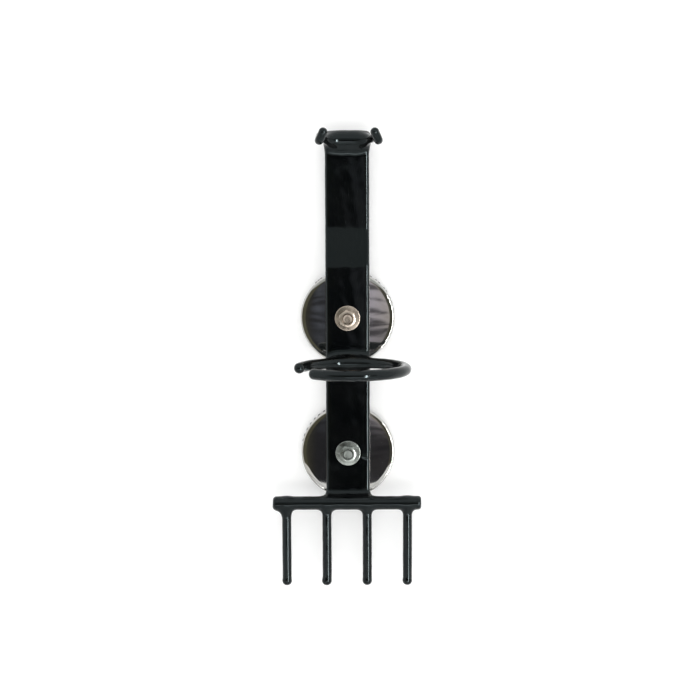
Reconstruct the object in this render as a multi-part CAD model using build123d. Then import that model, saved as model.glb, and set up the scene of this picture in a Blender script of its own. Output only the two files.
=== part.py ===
"""Magnetic tool holder: a dipped, welded steel bracket on two cup magnets.

Frame of the part, in millimetres: +Z is up, the front of the holder faces -Y, and +X is to
the right of a person in front of it. The steel wall that the magnets hold on to is the
plane Y = 0. The origin lies on that plane, half way between the two magnets.
"""

import os
from math import atan2, tan

from build123d import *

# Cup magnets
MAGNET_SPACING = 96.7
CUP_DIAMETER = 66.6
CUP_HEIGHT = 9.5
CUP_WALL = 1.5
CUP_SHOULDER_RADIUS = 1.4
MAGNET_CLEARANCE = 0.5
MAGNET_BORE_DIAMETER = 19.0
ADHESIVE_THICKNESS = 0.4

# Fasteners: quarter-inch bolt, washer and nut
BOLT_DIAMETER = 6.35
BOLT_LENGTH = 15.9
BOLT_HEAD_HEIGHT = 4.0
BOLT_END_CHAMFER = 0.7
BOLT_HOLE_CLEARANCE = 0.65
HEX_ACROSS_FLATS = 11.1
NUT_HEIGHT = 5.6
NUT_CORNER_TO_FLATS = 1.13
NUT_CHAMFER_TO_FLATS = 0.06
THREAD_CLEARANCE = 0.05
WASHER_DIAMETER = 18.0
WASHER_BORE_CLEARANCE = 1.55
WASHER_THICKNESS = 1.65

# Flat bar, the backbone
BAR_WIDTH = 30.0
BAR_THICKNESS = 3.2
BAR_EDGE_RADIUS = 0.8
BAR_TOP_Z = 178.6
BAR_BOTTOM_Z = -85.4

# Joggle: the bar's upper length lies nearer to the wall than the rest
JOGGLE_DEPTH = 4.5
JOGGLE_HEIGHT = 26.6
JOGGLE_ABOVE_CUP = 2.6
JOGGLE_BEND_RADIUS = 12.0

# Cradle: a U of round rod with turned-up tips
CRADLE_ROD_DIAMETER = 4.76
CRADLE_BELOW_TOP = 5.0
CRADLE_WIDTH = 37.0
CRADLE_BIGHT_FLAT = 5.0
CRADLE_REACH = 49.0
CRADLE_CREST_BEYOND_BIGHT = 6.0
CRADLE_CREST_RISE = 2.2
CRADLE_CREST_RADIUS = 25.0
CRADLE_SPLAY = 3.0
CRADLE_TIP_DROP = 1.5
CRADLE_TIP_HEIGHT = 5.8
CRADLE_TIP_OUT = 3.0
CRADLE_TIP_LEAN = 2.7
CRADLE_TIP_BEND_RADIUS = 3.0

# Ring: a hoop of round rod with a gap at its front left
RING_ROD_DIAMETER = 6.35
RING_RADIUS = 37.0
RING_Z = 16.9
RING_OFFSET_X = 3.0
RING_GAP_NEAR_ANGLE = 43.0
RING_GAP_FAR_ANGLE = 101.0

# Fork: a thicker crossbar with straight prongs, welded on slightly to the left
FORK_OFFSET_X = -0.9
CROSSBAR_DIAMETER = 7.94
CROSSBAR_ABOVE_BOTTOM = 1.5
CROSSBAR_OVERHANG = 9.2
CROSSBAR_END_CHAMFER = 0.5
PRONG_DIAMETER = 4.76
PRONG_COUNT = 4
PRONG_PITCH = 28.8
PRONG_LENGTH = 58.9

# Weld beads and the vinyl skin
WELD_LEG = 2.6
WELD_ROOT_GAP = 0.6
COAT = 0.6
WEB_LEG = 5.0

# Places and sizes worked out from the ones above
BOLT_HOLE_DIAMETER = BOLT_DIAMETER + BOLT_HOLE_CLEARANCE
BAR_BACK_Y = -(CUP_HEIGHT + COAT)
BAR_FRONT_Y = BAR_BACK_Y - BAR_THICKNESS
UPPER_BAR_FRONT_Y = BAR_FRONT_Y + JOGGLE_DEPTH
SKIN_FRONT_Y = BAR_FRONT_Y - COAT
CUP_FLOOR_Y = -(CUP_HEIGHT - CUP_WALL)
MAGNET_PLACES = {"upper": MAGNET_SPACING / 2, "lower": -MAGNET_SPACING / 2}
JOGGLE_BOTTOM_Z = (MAGNET_SPACING + CUP_DIAMETER) / 2 + JOGGLE_ABOVE_CUP
JOGGLE_TOP_Z = JOGGLE_BOTTOM_Z + JOGGLE_HEIGHT
CRADLE_Z = BAR_TOP_Z - CRADLE_BELOW_TOP
CRADLE_BEND_RADIUS = (CRADLE_WIDTH - CRADLE_BIGHT_FLAT) / 2
CRADLE_CREST_REACH = CRADLE_BEND_RADIUS + CRADLE_CREST_BEYOND_BIGHT
CROSSBAR_Z = BAR_BOTTOM_Z + CROSSBAR_ABOVE_BOTTOM
CROSSBAR_AXIS_Y = BAR_FRONT_Y - CROSSBAR_DIAMETER / 2
CROSSBAR_LENGTH = (PRONG_COUNT - 1) * PRONG_PITCH + 2 * CROSSBAR_OVERHANG
PRONG_TIP_Z = CROSSBAR_Z - PRONG_LENGTH
FIRST_PRONG_X = FORK_OFFSET_X - (PRONG_COUNT - 1) / 2 * PRONG_PITCH
PRONG_XS = [FIRST_PRONG_X + number * PRONG_PITCH for number in range(PRONG_COUNT)]


def save(shape, name):
    """Write one node as a STEP file named after it."""
    shape.label = name
    export_step(shape, f"parts/{name}.step")


def disc(diameter, near_y, far_y, z):
    """Cylinder about an axis along Y, between two depths."""
    place = Pos(0, (near_y + far_y) / 2, z) * Rot(90, 0, 0)
    return place * Cylinder(diameter / 2, near_y - far_y)


def hexagon(across_flats, near_y, far_y, z):
    """Hexagonal prism about an axis along Y, one pair of flats upright."""
    outline = RegularPolygon(across_flats / 2, 6, major_radius=False, rotation=30)
    prism = extrude(outline, amount=near_y - far_y)
    return Pos(0, near_y, z) * Rot(90, 0, 0) * prism


def rod_along(path, diameter):
    """Round rod swept along a path, with round ends."""
    section = Plane(origin=path @ 0, z_dir=path % 0) * Circle(diameter / 2)
    ends = [Pos(path @ share) * Sphere(diameter / 2) for share in (0, 1)]
    return sweep(section, path=path) + ends


def bar_profile():
    """Side view of the joggled bar: two parallel faces with rounded bends."""
    slope = atan2(JOGGLE_DEPTH, JOGGLE_TOP_Z - JOGGLE_BOTTOM_Z)
    bend_shift = BAR_THICKNESS * tan(slope / 2)
    upper_back_y = UPPER_BAR_FRONT_Y + BAR_THICKNESS
    outline = Polyline(
        (BAR_FRONT_Y, BAR_BOTTOM_Z),
        (BAR_FRONT_Y, JOGGLE_BOTTOM_Z),
        (UPPER_BAR_FRONT_Y, JOGGLE_TOP_Z),
        (UPPER_BAR_FRONT_Y, BAR_TOP_Z),
        (upper_back_y, BAR_TOP_Z),
        (upper_back_y, JOGGLE_TOP_Z - bend_shift),
        (BAR_BACK_Y, JOGGLE_BOTTOM_Z - bend_shift),
        (BAR_BACK_Y, BAR_BOTTOM_Z),
        close=True,
    )
    face = make_face(outline)
    rows = face.vertices().group_by(Axis.Y)
    bends = [corner for row in rows[1:-1] for corner in row]
    return fillet(bends, JOGGLE_BEND_RADIUS)


def bar_body(grow):
    """The joggled bar without its holes, grown all round by a skin thickness."""
    profile = bar_profile()
    if grow:
        profile = offset(profile, amount=grow, kind=Kind.INTERSECTION)
    body = extrude(Plane.YZ * profile, amount=BAR_WIDTH / 2 + grow, both=True)
    sides = body.edges().group_by(Axis.X)
    return fillet(sides[0] + sides[-1], BAR_EDGE_RADIUS + grow)


def bolt_holes():
    """Bores through the bar and its skin for the two bolts."""
    return [disc(BOLT_HOLE_DIAMETER, 0, 2 * BAR_FRONT_Y, z) for z in MAGNET_PLACES.values()]


def cradle_path():
    """Centre line of the cradle: left tip, left arm, bight, right arm, right tip."""
    root_y = UPPER_BAR_FRONT_Y - CRADLE_ROD_DIAMETER / 2
    half = CRADLE_WIDTH / 2
    left_x = -half
    right_x = half + CRADLE_SPLAY
    crest_share = CRADLE_CREST_REACH / CRADLE_REACH
    crest_y = root_y - CRADLE_CREST_REACH
    crest_z = CRADLE_Z + CRADLE_CREST_RISE
    bend_y = root_y - CRADLE_REACH
    bend_z = CRADLE_Z - CRADLE_TIP_DROP
    tip_y = bend_y - CRADLE_TIP_OUT
    tip_z = bend_z + CRADLE_TIP_HEIGHT
    points = [
        (left_x + CRADLE_TIP_LEAN, tip_y, tip_z),
        (left_x, bend_y, bend_z),
        (-half, crest_y, crest_z),
        (-half, root_y, CRADLE_Z),
        (half, root_y, CRADLE_Z),
        (half + CRADLE_SPLAY * crest_share, crest_y, crest_z),
        (right_x, bend_y, bend_z),
        (right_x - CRADLE_TIP_LEAN, tip_y, tip_z),
    ]
    tip = CRADLE_TIP_BEND_RADIUS
    crest = CRADLE_CREST_RADIUS
    bight = CRADLE_BEND_RADIUS
    return FilletPolyline(*points, radius=[tip, crest, bight, bight, crest, tip])


def cradle_body(grow):
    """The cradle's rod, grown by a skin thickness."""
    return rod_along(cradle_path(), CRADLE_ROD_DIAMETER + 2 * grow)


def ring_path():
    """Centre line of the open ring, which touches the front of the bar at its back."""
    centre = (RING_OFFSET_X, BAR_FRONT_Y - RING_ROD_DIAMETER / 2 - RING_RADIUS, RING_Z)
    front = 270.0
    start = front - RING_GAP_NEAR_ANGLE
    sweep_angle = 360.0 - (RING_GAP_FAR_ANGLE - RING_GAP_NEAR_ANGLE)
    return CenterArc(centre, RING_RADIUS, start, sweep_angle)


def ring_body(grow):
    """The ring's rod, grown by a skin thickness."""
    return rod_along(ring_path(), RING_ROD_DIAMETER + 2 * grow)


def crossbar_body(grow):
    """The fork's crossbar, grown by a skin thickness."""
    radius = CROSSBAR_DIAMETER / 2 + grow
    rod = Cylinder(radius, CROSSBAR_LENGTH + 2 * grow)
    rod = chamfer(rod.edges().filter_by(GeomType.CIRCLE), CROSSBAR_END_CHAMFER + grow)
    return Pos(FORK_OFFSET_X, CROSSBAR_AXIS_Y, CROSSBAR_Z) * Rot(0, 90, 0) * rod


def prong_body(x, grow):
    """One prong with a round tip, grown by a skin thickness, from the crossbar's axis down."""
    radius = PRONG_DIAMETER / 2 + grow
    tip_centre_z = PRONG_TIP_Z + PRONG_DIAMETER / 2
    length = CROSSBAR_Z - tip_centre_z
    shank = Pos(x, CROSSBAR_AXIS_Y, CROSSBAR_Z - length / 2) * Cylinder(radius, length)
    return shank + Pos(x, CROSSBAR_AXIS_Y, tip_centre_z) * Sphere(radius)


def fillet_bead(rod_diameter, axis_y, face_y, z, leg, centre_x, width):
    """Block that fills the two corners between a rod across the bar and the bar's face."""
    radius = rod_diameter / 2
    with BuildSketch(Plane.YZ) as outline:
        with BuildLine():
            Polyline(
                (face_y, z + radius + leg),
                (axis_y, z + radius),
                (axis_y, z - radius),
                (face_y, z - radius - leg),
                close=True,
            )
        make_face()
    return Pos(centre_x, 0, 0) * extrude(outline.sketch, amount=width / 2, both=True)


def prong_collar(x, grow, leg):
    """Cone of weld or vinyl round the root of one prong."""
    radius = PRONG_DIAMETER / 2 + grow
    height = leg + CROSSBAR_DIAMETER / 2
    cone = Cone(radius, radius + leg, height)
    return Pos(x, CROSSBAR_AXIS_Y, CROSSBAR_Z - CROSSBAR_DIAMETER / 2 - leg + height / 2) * cone


def welds_on_bar(grow, leg, width):
    """Beads of cradle, ring and crossbar, by name, before the rods are cut out of them."""
    cradle_face = UPPER_BAR_FRONT_Y - grow
    lower_face = BAR_FRONT_Y - grow
    cradle_axis = UPPER_BAR_FRONT_Y - CRADLE_ROD_DIAMETER / 2
    ring_axis = BAR_FRONT_Y - RING_ROD_DIAMETER / 2
    cradle_size = CRADLE_ROD_DIAMETER + 2 * grow
    ring_size = RING_ROD_DIAMETER + 2 * grow
    crossbar_size = CROSSBAR_DIAMETER + 2 * grow
    cradle_width = min(width, CRADLE_WIDTH / 2)
    ring_width = min(width, RING_RADIUS / 2)
    cradle = fillet_bead(cradle_size, cradle_axis, cradle_face, CRADLE_Z, leg, 0, cradle_width)
    ring = fillet_bead(ring_size, ring_axis, lower_face, RING_Z, leg, RING_OFFSET_X, ring_width)
    crossbar = crossbar_bead(crossbar_size, lower_face, leg, width)
    return {"cradle": cradle, "ring": ring, "crossbar": crossbar}


def crossbar_bead(size, face_y, leg, width):
    """The crossbar's bead, which lies only above the rod, where the bar carries on."""
    bead = fillet_bead(size, CROSSBAR_AXIS_Y, face_y, CROSSBAR_Z, leg, 0, width)
    lower_half = Pos(0, face_y, CROSSBAR_Z - size) * Box(2 * width, 4 * size, 2 * size)
    return bead - lower_half


def weld_roots():
    """Narrow slots behind the rods, where a bead doesn't reach between rod and bar."""
    places = [
        (UPPER_BAR_FRONT_Y, CRADLE_Z),
        (BAR_FRONT_Y, RING_Z),
        (BAR_FRONT_Y, CROSSBAR_Z),
    ]
    return [Pos(0, y, z) * Box(2 * BAR_WIDTH, 2 * WELD_ROOT_GAP, WELD_ROOT_GAP) for y, z in places]


def steel_frame():
    """Every steel piece of the welded frame, by node name, none overlapping another."""
    bar = bar_body(0) - bolt_holes()
    cradle = cradle_body(0)
    ring = ring_body(0)
    crossbar = crossbar_body(0)
    prongs = [prong_body(x, 0) - crossbar for x in PRONG_XS]
    beads = welds_on_bar(0, WELD_LEG, BAR_WIDTH - 2 * WELD_LEG)
    collars = []
    for x, prong in zip(PRONG_XS, prongs):
        collars += (prong_collar(x, 0, WELD_LEG / 2) - crossbar - prong).solids()
    roots = weld_roots()
    frame = {
        "backbone_bar": bar,
        "cradle_rod": cradle,
        "ring_rod": ring,
        "fork_crossbar": crossbar,
        "cradle_weld": beads["cradle"] - cradle - roots,
        "ring_weld": beads["ring"] - ring - roots,
        "crossbar_weld": beads["crossbar"] - crossbar - roots,
        "prong_welds": Compound(children=collars),
    }
    for number, prong in enumerate(prongs, start=1):
        frame[f"fork_prong_{number}"] = prong
    return frame


def vinyl_skin(frame):
    """The dipped skin: the grown frame with the steel taken out of it."""
    skin = bar_body(COAT) + cradle_body(COAT) + ring_body(COAT) + crossbar_body(COAT)
    for x in PRONG_XS:
        skin += prong_body(x, COAT)
        skin += prong_collar(x, COAT, WEB_LEG / 2)
    for web in welds_on_bar(COAT, WEB_LEG, BAR_WIDTH).values():
        skin += web
    for piece in frame.values():
        skin -= piece
    for bead in welds_on_bar(0, WELD_LEG, BAR_WIDTH - 2 * WELD_LEG).values():
        skin -= bead
    return skin - bolt_holes()


def magnet_cup(z):
    """Pressed steel cup, open towards the wall, with a bolt hole in its floor."""
    cup = disc(CUP_DIAMETER, 0, -CUP_HEIGHT, z)
    front_edge = cup.edges().filter_by(GeomType.CIRCLE).sort_by(Axis.Y)[0]
    cup = fillet(front_edge, CUP_SHOULDER_RADIUS)
    cup -= disc(CUP_DIAMETER - 2 * CUP_WALL, CUP_HEIGHT, CUP_FLOOR_Y, z)
    return cup - disc(BOLT_HOLE_DIAMETER, 0, -2 * CUP_HEIGHT, z)


def ring_magnet(z):
    """Ceramic ring magnet, flush with the rim of its cup."""
    outer = CUP_DIAMETER - 2 * CUP_WALL - 2 * MAGNET_CLEARANCE
    back_y = CUP_FLOOR_Y + ADHESIVE_THICKNESS
    return disc(outer, 0, back_y, z) - disc(MAGNET_BORE_DIAMETER, CUP_HEIGHT, 2 * back_y, z)


def adhesive_bed(z):
    """Bed of adhesive between the ring magnet and the floor of its cup."""
    outer = CUP_DIAMETER - 2 * CUP_WALL - 2 * MAGNET_CLEARANCE
    top_y = CUP_FLOOR_Y + ADHESIVE_THICKNESS
    bed = disc(outer, top_y, CUP_FLOOR_Y, z)
    return bed - disc(MAGNET_BORE_DIAMETER, 0, -CUP_HEIGHT, z)


def bolt(z):
    """Hexagon-head bolt with its head on the inside of the cup's floor."""
    head = hexagon(HEX_ACROSS_FLATS, CUP_FLOOR_Y + BOLT_HEAD_HEIGHT, CUP_FLOOR_Y, z)
    shank = disc(BOLT_DIAMETER, CUP_FLOOR_Y, CUP_FLOOR_Y - BOLT_LENGTH, z)
    end = shank.edges().filter_by(GeomType.CIRCLE).sort_by(Axis.Y)[0]
    return head + chamfer(end, BOLT_END_CHAMFER)


def washer(z):
    """Flat washer on the skin of the bar."""
    back_y = SKIN_FRONT_Y
    front_y = back_y - WASHER_THICKNESS
    bore = disc(BOLT_DIAMETER + WASHER_BORE_CLEARANCE, 0, 2 * front_y, z)
    return disc(WASHER_DIAMETER, back_y, front_y, z) - bore


def nut(z):
    """Hexagon nut with chamfered corners, on its washer."""
    back_y = SKIN_FRONT_Y - WASHER_THICKNESS
    front_y = back_y - NUT_HEIGHT
    body = hexagon(HEX_ACROSS_FLATS, back_y, front_y, z)
    blank = disc(HEX_ACROSS_FLATS * NUT_CORNER_TO_FLATS, back_y, front_y, z)
    rims = blank.edges().filter_by(GeomType.CIRCLE)
    blank = chamfer(rims, HEX_ACROSS_FLATS * NUT_CHAMFER_TO_FLATS)
    bore = disc(BOLT_DIAMETER + 2 * THREAD_CLEARANCE, 0, 2 * front_y, z)
    return (body & blank) - bore


def build():
    """Write every node of the holder."""
    os.makedirs("parts", exist_ok=True)
    frame = steel_frame()
    for name, shape in frame.items():
        save(shape, name)
    save(vinyl_skin(frame), "vinyl_coating")
    for place, z in MAGNET_PLACES.items():
        save(magnet_cup(z), f"magnet_cup_{place}")
        save(ring_magnet(z), f"ring_magnet_{place}")
        save(adhesive_bed(z), f"adhesive_bed_{place}")
        save(bolt(z), f"bolt_{place}")
        save(washer(z), f"washer_{place}")
        save(nut(z), f"nut_{place}")


build()
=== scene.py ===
"""Looks of a magnetic tool holder: dipped vinyl skin, plated magnet cups, ferrite and fasteners.

Sizes of the pieces are in millimetres, as on a workshop drawing, and every mesh is written in
metres. +Z is up, the front faces -Y, and the wall behind the holder is the plane Y = 0.
"""

import logging
import math
from dataclasses import dataclass, field
from enum import Enum

import bmesh
import bpy
import numpy as np
from mathutils import Matrix, Vector

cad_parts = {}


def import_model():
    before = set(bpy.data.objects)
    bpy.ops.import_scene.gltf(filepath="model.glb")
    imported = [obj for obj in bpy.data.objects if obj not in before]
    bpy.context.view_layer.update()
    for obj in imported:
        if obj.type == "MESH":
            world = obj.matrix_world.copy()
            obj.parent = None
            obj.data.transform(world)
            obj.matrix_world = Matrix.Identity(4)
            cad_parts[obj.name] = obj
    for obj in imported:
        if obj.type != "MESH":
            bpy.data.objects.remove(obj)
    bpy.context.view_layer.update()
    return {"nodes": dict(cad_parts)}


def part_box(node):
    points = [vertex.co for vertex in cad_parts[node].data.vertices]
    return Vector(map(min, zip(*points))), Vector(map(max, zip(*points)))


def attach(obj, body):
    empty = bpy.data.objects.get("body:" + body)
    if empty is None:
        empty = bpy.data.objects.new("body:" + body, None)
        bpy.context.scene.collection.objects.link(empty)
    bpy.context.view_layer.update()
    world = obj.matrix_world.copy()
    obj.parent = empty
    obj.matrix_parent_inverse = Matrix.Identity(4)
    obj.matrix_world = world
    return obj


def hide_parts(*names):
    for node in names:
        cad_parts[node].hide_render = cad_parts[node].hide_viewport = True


LOG = logging.getLogger("tool_holder")
MM = 0.001
ROOT = "root"

BAR_THICKNESS = 3.2
SMALL_ROD = 4.76
RING_ROD = 6.35

Point = tuple[float, float, float]

WHITE: Point = (1.0, 1.0, 1.0)
NEAR_BLACK: Point = (0.01, 0.01, 0.01)
BLACK: Point = (0.0, 0.0, 0.0)


class Place(Enum):
    """The two magnet mounts on the bar."""

    UPPER = "upper"
    LOWER = "lower"


class Edges(Enum):
    """How a finished mesh is shaded across its edges."""

    ROUND = "round"
    MACHINED = "machined"


# ---------------------------------------------------------------------------- finishes


class NodeSheet:
    """A material's node tree with short calls to add and join nodes."""

    def __init__(self, name: str) -> None:
        """Starts an empty material with an output and a principled shader.

        Args:
            name: The material's name.
        """
        self.material = bpy.data.materials.new(name)
        self.material.use_nodes = True
        self.nodes = self.material.node_tree.nodes
        self.nodes.clear()
        self.output = self.nodes.new("ShaderNodeOutputMaterial")
        self.shader = self.nodes.new("ShaderNodeBsdfPrincipled")
        self.join(self.shader.outputs["BSDF"], self.output.inputs["Surface"])
        self.place = self.nodes.new("ShaderNodeTexCoord").outputs["Object"]

    def join(self, source: bpy.types.NodeSocket, target: bpy.types.NodeSocket) -> None:
        """Links one socket to another."""
        self.material.node_tree.links.new(source, target)

    def stretched(self, scale: Point, turn: Point = (0.0, 0.0, 0.0)) -> bpy.types.NodeSocket:
        """Gives object coordinates scaled and turned by a mapping node.

        Args:
            scale: Scale along X, Y and Z.
            turn: Turn about X, Y and Z, in degrees.

        Returns:
            The mapped vector's socket.
        """
        mapping = self.nodes.new("ShaderNodeMapping")
        mapping.inputs["Scale"].default_value = scale
        mapping.inputs["Rotation"].default_value = [math.radians(angle) for angle in turn]
        self.join(self.place, mapping.inputs["Vector"])
        return mapping.outputs["Vector"]

    def noise(
        self,
        scale: float,
        detail: float = 4.0,
        roughness: float = 0.5,
        vector: bpy.types.NodeSocket | None = None,
        distortion: float = 0.0,
    ) -> bpy.types.NodeSocket:
        """Adds a noise texture.

        Args:
            scale: Features per metre.
            detail: Octaves.
            roughness: Strength of the finer octaves.
            vector: Coordinates, or None for plain object coordinates.
            distortion: Swirl of the pattern.

        Returns:
            The noise value's socket.
        """
        texture = self.nodes.new("ShaderNodeTexNoise")
        texture.inputs["Scale"].default_value = scale
        texture.inputs["Detail"].default_value = detail
        texture.inputs["Roughness"].default_value = roughness
        texture.inputs["Distortion"].default_value = distortion
        self.join(vector or self.place, texture.inputs["Vector"])
        return texture.outputs["Fac"]

    def spread(
        self, source: bpy.types.NodeSocket, span: tuple[float, float], target: tuple[float, float]
    ) -> bpy.types.NodeSocket:
        """Maps a value from one span to another and clamps it.

        Args:
            source: The value to map.
            span: Lowest and highest value in.
            target: Values out at those two.

        Returns:
            The mapped value's socket.
        """
        mapper = self.nodes.new("ShaderNodeMapRange")
        mapper.inputs["From Min"].default_value = span[0]
        mapper.inputs["From Max"].default_value = span[1]
        mapper.inputs["To Min"].default_value = target[0]
        mapper.inputs["To Max"].default_value = target[1]
        self.join(source, mapper.inputs["Value"])
        return mapper.outputs["Result"]

    def colours(
        self, source: bpy.types.NodeSocket, stops: list[tuple[float, Point]]
    ) -> bpy.types.NodeSocket:
        """Adds a colour ramp.

        Args:
            source: The value that picks the colour.
            stops: Positions and linear colours.

        Returns:
            The colour's socket.
        """
        ramp = self.nodes.new("ShaderNodeValToRGB")
        elements = ramp.color_ramp.elements
        while len(elements) < len(stops):
            elements.new(0.5)
        for element, (position, colour) in zip(elements, stops):
            element.position = position
            element.color = (*colour, 1.0)
        self.join(source, ramp.inputs["Fac"])
        return ramp.outputs["Color"]

    def bump(self, layers: list[tuple[bpy.types.NodeSocket, float, float]]) -> None:
        """Stacks bump layers on the shader's normal.

        Args:
            layers: Height socket, strength and depth in metres of each layer, coarse to fine.
        """
        below = None
        for height, strength, depth in layers:
            node = self.nodes.new("ShaderNodeBump")
            node.inputs["Strength"].default_value = strength
            node.inputs["Distance"].default_value = depth
            self.join(height, node.inputs["Height"])
            if below is not None:
                self.join(below, node.inputs["Normal"])
            below = node.outputs["Normal"]
        if below is not None:
            self.join(below, self.shader.inputs["Normal"])

    def set(self, **values: float | Point) -> None:
        """Sets plain values on the shader, with spaces in socket names written as underscores."""
        for name, value in values.items():
            socket = self.shader.inputs[name.replace("_", " ")]
            socket.default_value = (*value, 1.0) if isinstance(value, tuple) else value


@dataclass(frozen=True)
class BlackVinyl:
    """Glossy dipped vinyl: near black, slightly wavy, with a faint orange peel and handling haze."""

    name: str = "dipped_black_vinyl"
    deep: Point = (0.0011, 0.0014, 0.0016)
    worn: Point = (0.0028, 0.0030, 0.0030)
    gloss: tuple[float, float] = (0.06, 0.15)

    def build(self) -> bpy.types.Material:
        """Makes the material.

        Returns:
            The material.
        """
        sheet = NodeSheet(self.name)
        haze = sheet.noise(45.0, detail=5.0, roughness=0.6)
        shade = sheet.colours(haze, [(0.35, self.deep), (0.75, self.worn)])
        sheet.join(shade, sheet.shader.inputs["Base Color"])
        rough = sheet.spread(haze, (0.3, 0.75), self.gloss)
        sheet.join(rough, sheet.shader.inputs["Roughness"])
        sheet.set(IOR=1.46, Specular_IOR_Level=0.32, Specular_Tint=(0.84, 1.0, 1.03))
        waves = sheet.noise(60.0, detail=1.0)
        peel = sheet.noise(900.0, detail=2.0, roughness=0.4)
        sheet.bump([(waves, 0.09, 0.0009), (peel, 0.08, 0.00006)])
        return sheet.material


@dataclass(frozen=True)
class CupChrome:
    """Bright plated pressing: smoky mirror with drawing marks, smudges and hairline scratches, and a
    painted shadow at the wall.
    """

    name: str = "plated_cup"
    bright: Point = (0.54, 0.54, 0.53)
    smoky: Point = (0.42, 0.41, 0.38)
    # painted shadow colour for the rim where the cup meets the wall
    painted_wall_shadow: Point = (0.030, 0.030, 0.032)
    rim: tuple[float, float] = (-0.0015, -0.0010)
    gloss: tuple[float, float] = (0.012, 0.045)

    def build(self) -> bpy.types.Material:
        """Makes the material.

        Returns:
            The material.
        """
        sheet = NodeSheet(self.name)
        smudge = sheet.noise(38.0, detail=6.0, roughness=0.62, distortion=0.4)
        shade = sheet.colours(smudge, [(0.35, self.smoky), (0.65, self.bright)])
        sheet.join(self.painted_rim_shadow(sheet, shade), sheet.shader.inputs["Base Color"])
        rough = sheet.spread(smudge, (0.35, 0.7), self.gloss)
        sheet.join(rough, sheet.shader.inputs["Roughness"])
        sheet.set(Metallic=1.0)
        dents = sheet.noise(26.0, detail=1.0)
        hairlines = sheet.noise(500.0, detail=3.0, vector=sheet.stretched((6.0, 1.0, 0.25), (0, 32, 0)))
        sheet.bump([(dents, 0.12, 0.0010), (hairlines, 0.05, 0.00004)])
        return sheet.material

    def painted_rim_shadow(self, sheet: NodeSheet, shade: bpy.types.NodeSocket) -> bpy.types.NodeSocket:
        """Darkens the last millimetre before the wall with a painted shadow, where the cup meets the
        wall.

        Args:
            sheet: The material's node tree.
            shade: The plated colour.

        Returns:
            The colour with the dark edge.
        """
        parts = sheet.nodes.new("ShaderNodeSeparateXYZ")
        sheet.join(sheet.place, parts.inputs["Vector"])
        edge = sheet.spread(parts.outputs["Y"], self.rim, (0.0, 1.0))
        blend = sheet.nodes.new("ShaderNodeMix")
        blend.data_type = "RGBA"
        # mixes the painted shadow into the last millimetre before the wall
        blend.inputs["B"].default_value = (*self.painted_wall_shadow, 1.0)
        sheet.join(edge, blend.inputs["Factor"])
        sheet.join(shade, blend.inputs["A"])
        return blend.outputs["Result"]


@dataclass(frozen=True)
class ZincPlate:
    """Zinc-plated fastener steel, warm-tinted by default, dull and a little mottled."""

    name: str = "zinc_plate_warm"
    pale: Point = (0.50, 0.43, 0.36)
    dull: Point = (0.36, 0.31, 0.26)
    gloss: tuple[float, float] = (0.20, 0.34)

    def build(self) -> bpy.types.Material:
        """Makes the material.

        Returns:
            The material.
        """
        sheet = NodeSheet(self.name)
        mottle = sheet.noise(150.0, detail=4.0, roughness=0.5)
        shade = sheet.colours(mottle, [(0.30, self.dull), (0.68, self.pale)])
        sheet.join(shade, sheet.shader.inputs["Base Color"])
        rough = sheet.spread(mottle, (0.3, 0.7), self.gloss)
        sheet.join(rough, sheet.shader.inputs["Roughness"])
        sheet.set(Metallic=1.0)
        grain = sheet.noise(2600.0, detail=3.0)
        sheet.bump([(mottle, 0.02, 0.0002), (grain, 0.03, 0.00003)])
        return sheet.material


@dataclass(frozen=True)
class Ferrite:
    """Ground hard ferrite: charcoal, with grinding lines and small pits."""

    name: str = "ground_ferrite"
    dark: Point = (0.020, 0.020, 0.022)
    pale: Point = (0.062, 0.061, 0.062)

    def build(self) -> bpy.types.Material:
        """Makes the material.

        Returns:
            The material.
        """
        sheet = NodeSheet(self.name)
        lines = sheet.noise(300.0, detail=4.0, vector=sheet.stretched((0.12, 1.0, 5.0), (0, 20, 0)))
        shade = sheet.colours(lines, [(0.30, self.dark), (0.72, self.pale)])
        sheet.join(shade, sheet.shader.inputs["Base Color"])
        rough = sheet.spread(lines, (0.3, 0.7), (0.38, 0.62))
        sheet.join(rough, sheet.shader.inputs["Roughness"])
        pits = sheet.noise(1500.0, detail=2.0)
        sheet.bump([(lines, 0.25, 0.00008), (pits, 0.2, 0.00005)])
        return sheet.material


@dataclass(frozen=True)
class BareSteel:
    """Hot-rolled bar and rod under the skin, or weld metal, in blue-grey scale."""

    name: str
    pale: Point
    dark: Point
    lump_scale: float

    def build(self) -> bpy.types.Material:
        """Makes the material.

        Returns:
            The material.
        """
        sheet = NodeSheet(self.name)
        scale = sheet.noise(self.lump_scale, detail=6.0, roughness=0.6)
        shade = sheet.colours(scale, [(0.32, self.dark), (0.70, self.pale)])
        sheet.join(shade, sheet.shader.inputs["Base Color"])
        rough = sheet.spread(scale, (0.3, 0.7), (0.35, 0.6))
        sheet.join(rough, sheet.shader.inputs["Roughness"])
        sheet.set(Metallic=1.0)
        sheet.bump([(scale, 0.3, 0.0002)])
        return sheet.material


@dataclass(frozen=True)
class Adhesive:
    """Set epoxy between magnet and cup: amber, satin, with a skin of small bubbles."""

    name: str = "set_epoxy"
    amber: Point = (0.42, 0.30, 0.14)
    cloudy: Point = (0.55, 0.47, 0.32)

    def build(self) -> bpy.types.Material:
        """Makes the material.

        Returns:
            The material.
        """
        sheet = NodeSheet(self.name)
        cloud = sheet.noise(160.0, detail=4.0)
        shade = sheet.colours(cloud, [(0.35, self.amber), (0.70, self.cloudy)])
        sheet.join(shade, sheet.shader.inputs["Base Color"])
        sheet.set(Roughness=0.4)
        bubbles = sheet.noise(1400.0, detail=1.0)
        sheet.bump([(bubbles, 0.2, 0.0001)])
        return sheet.material


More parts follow.
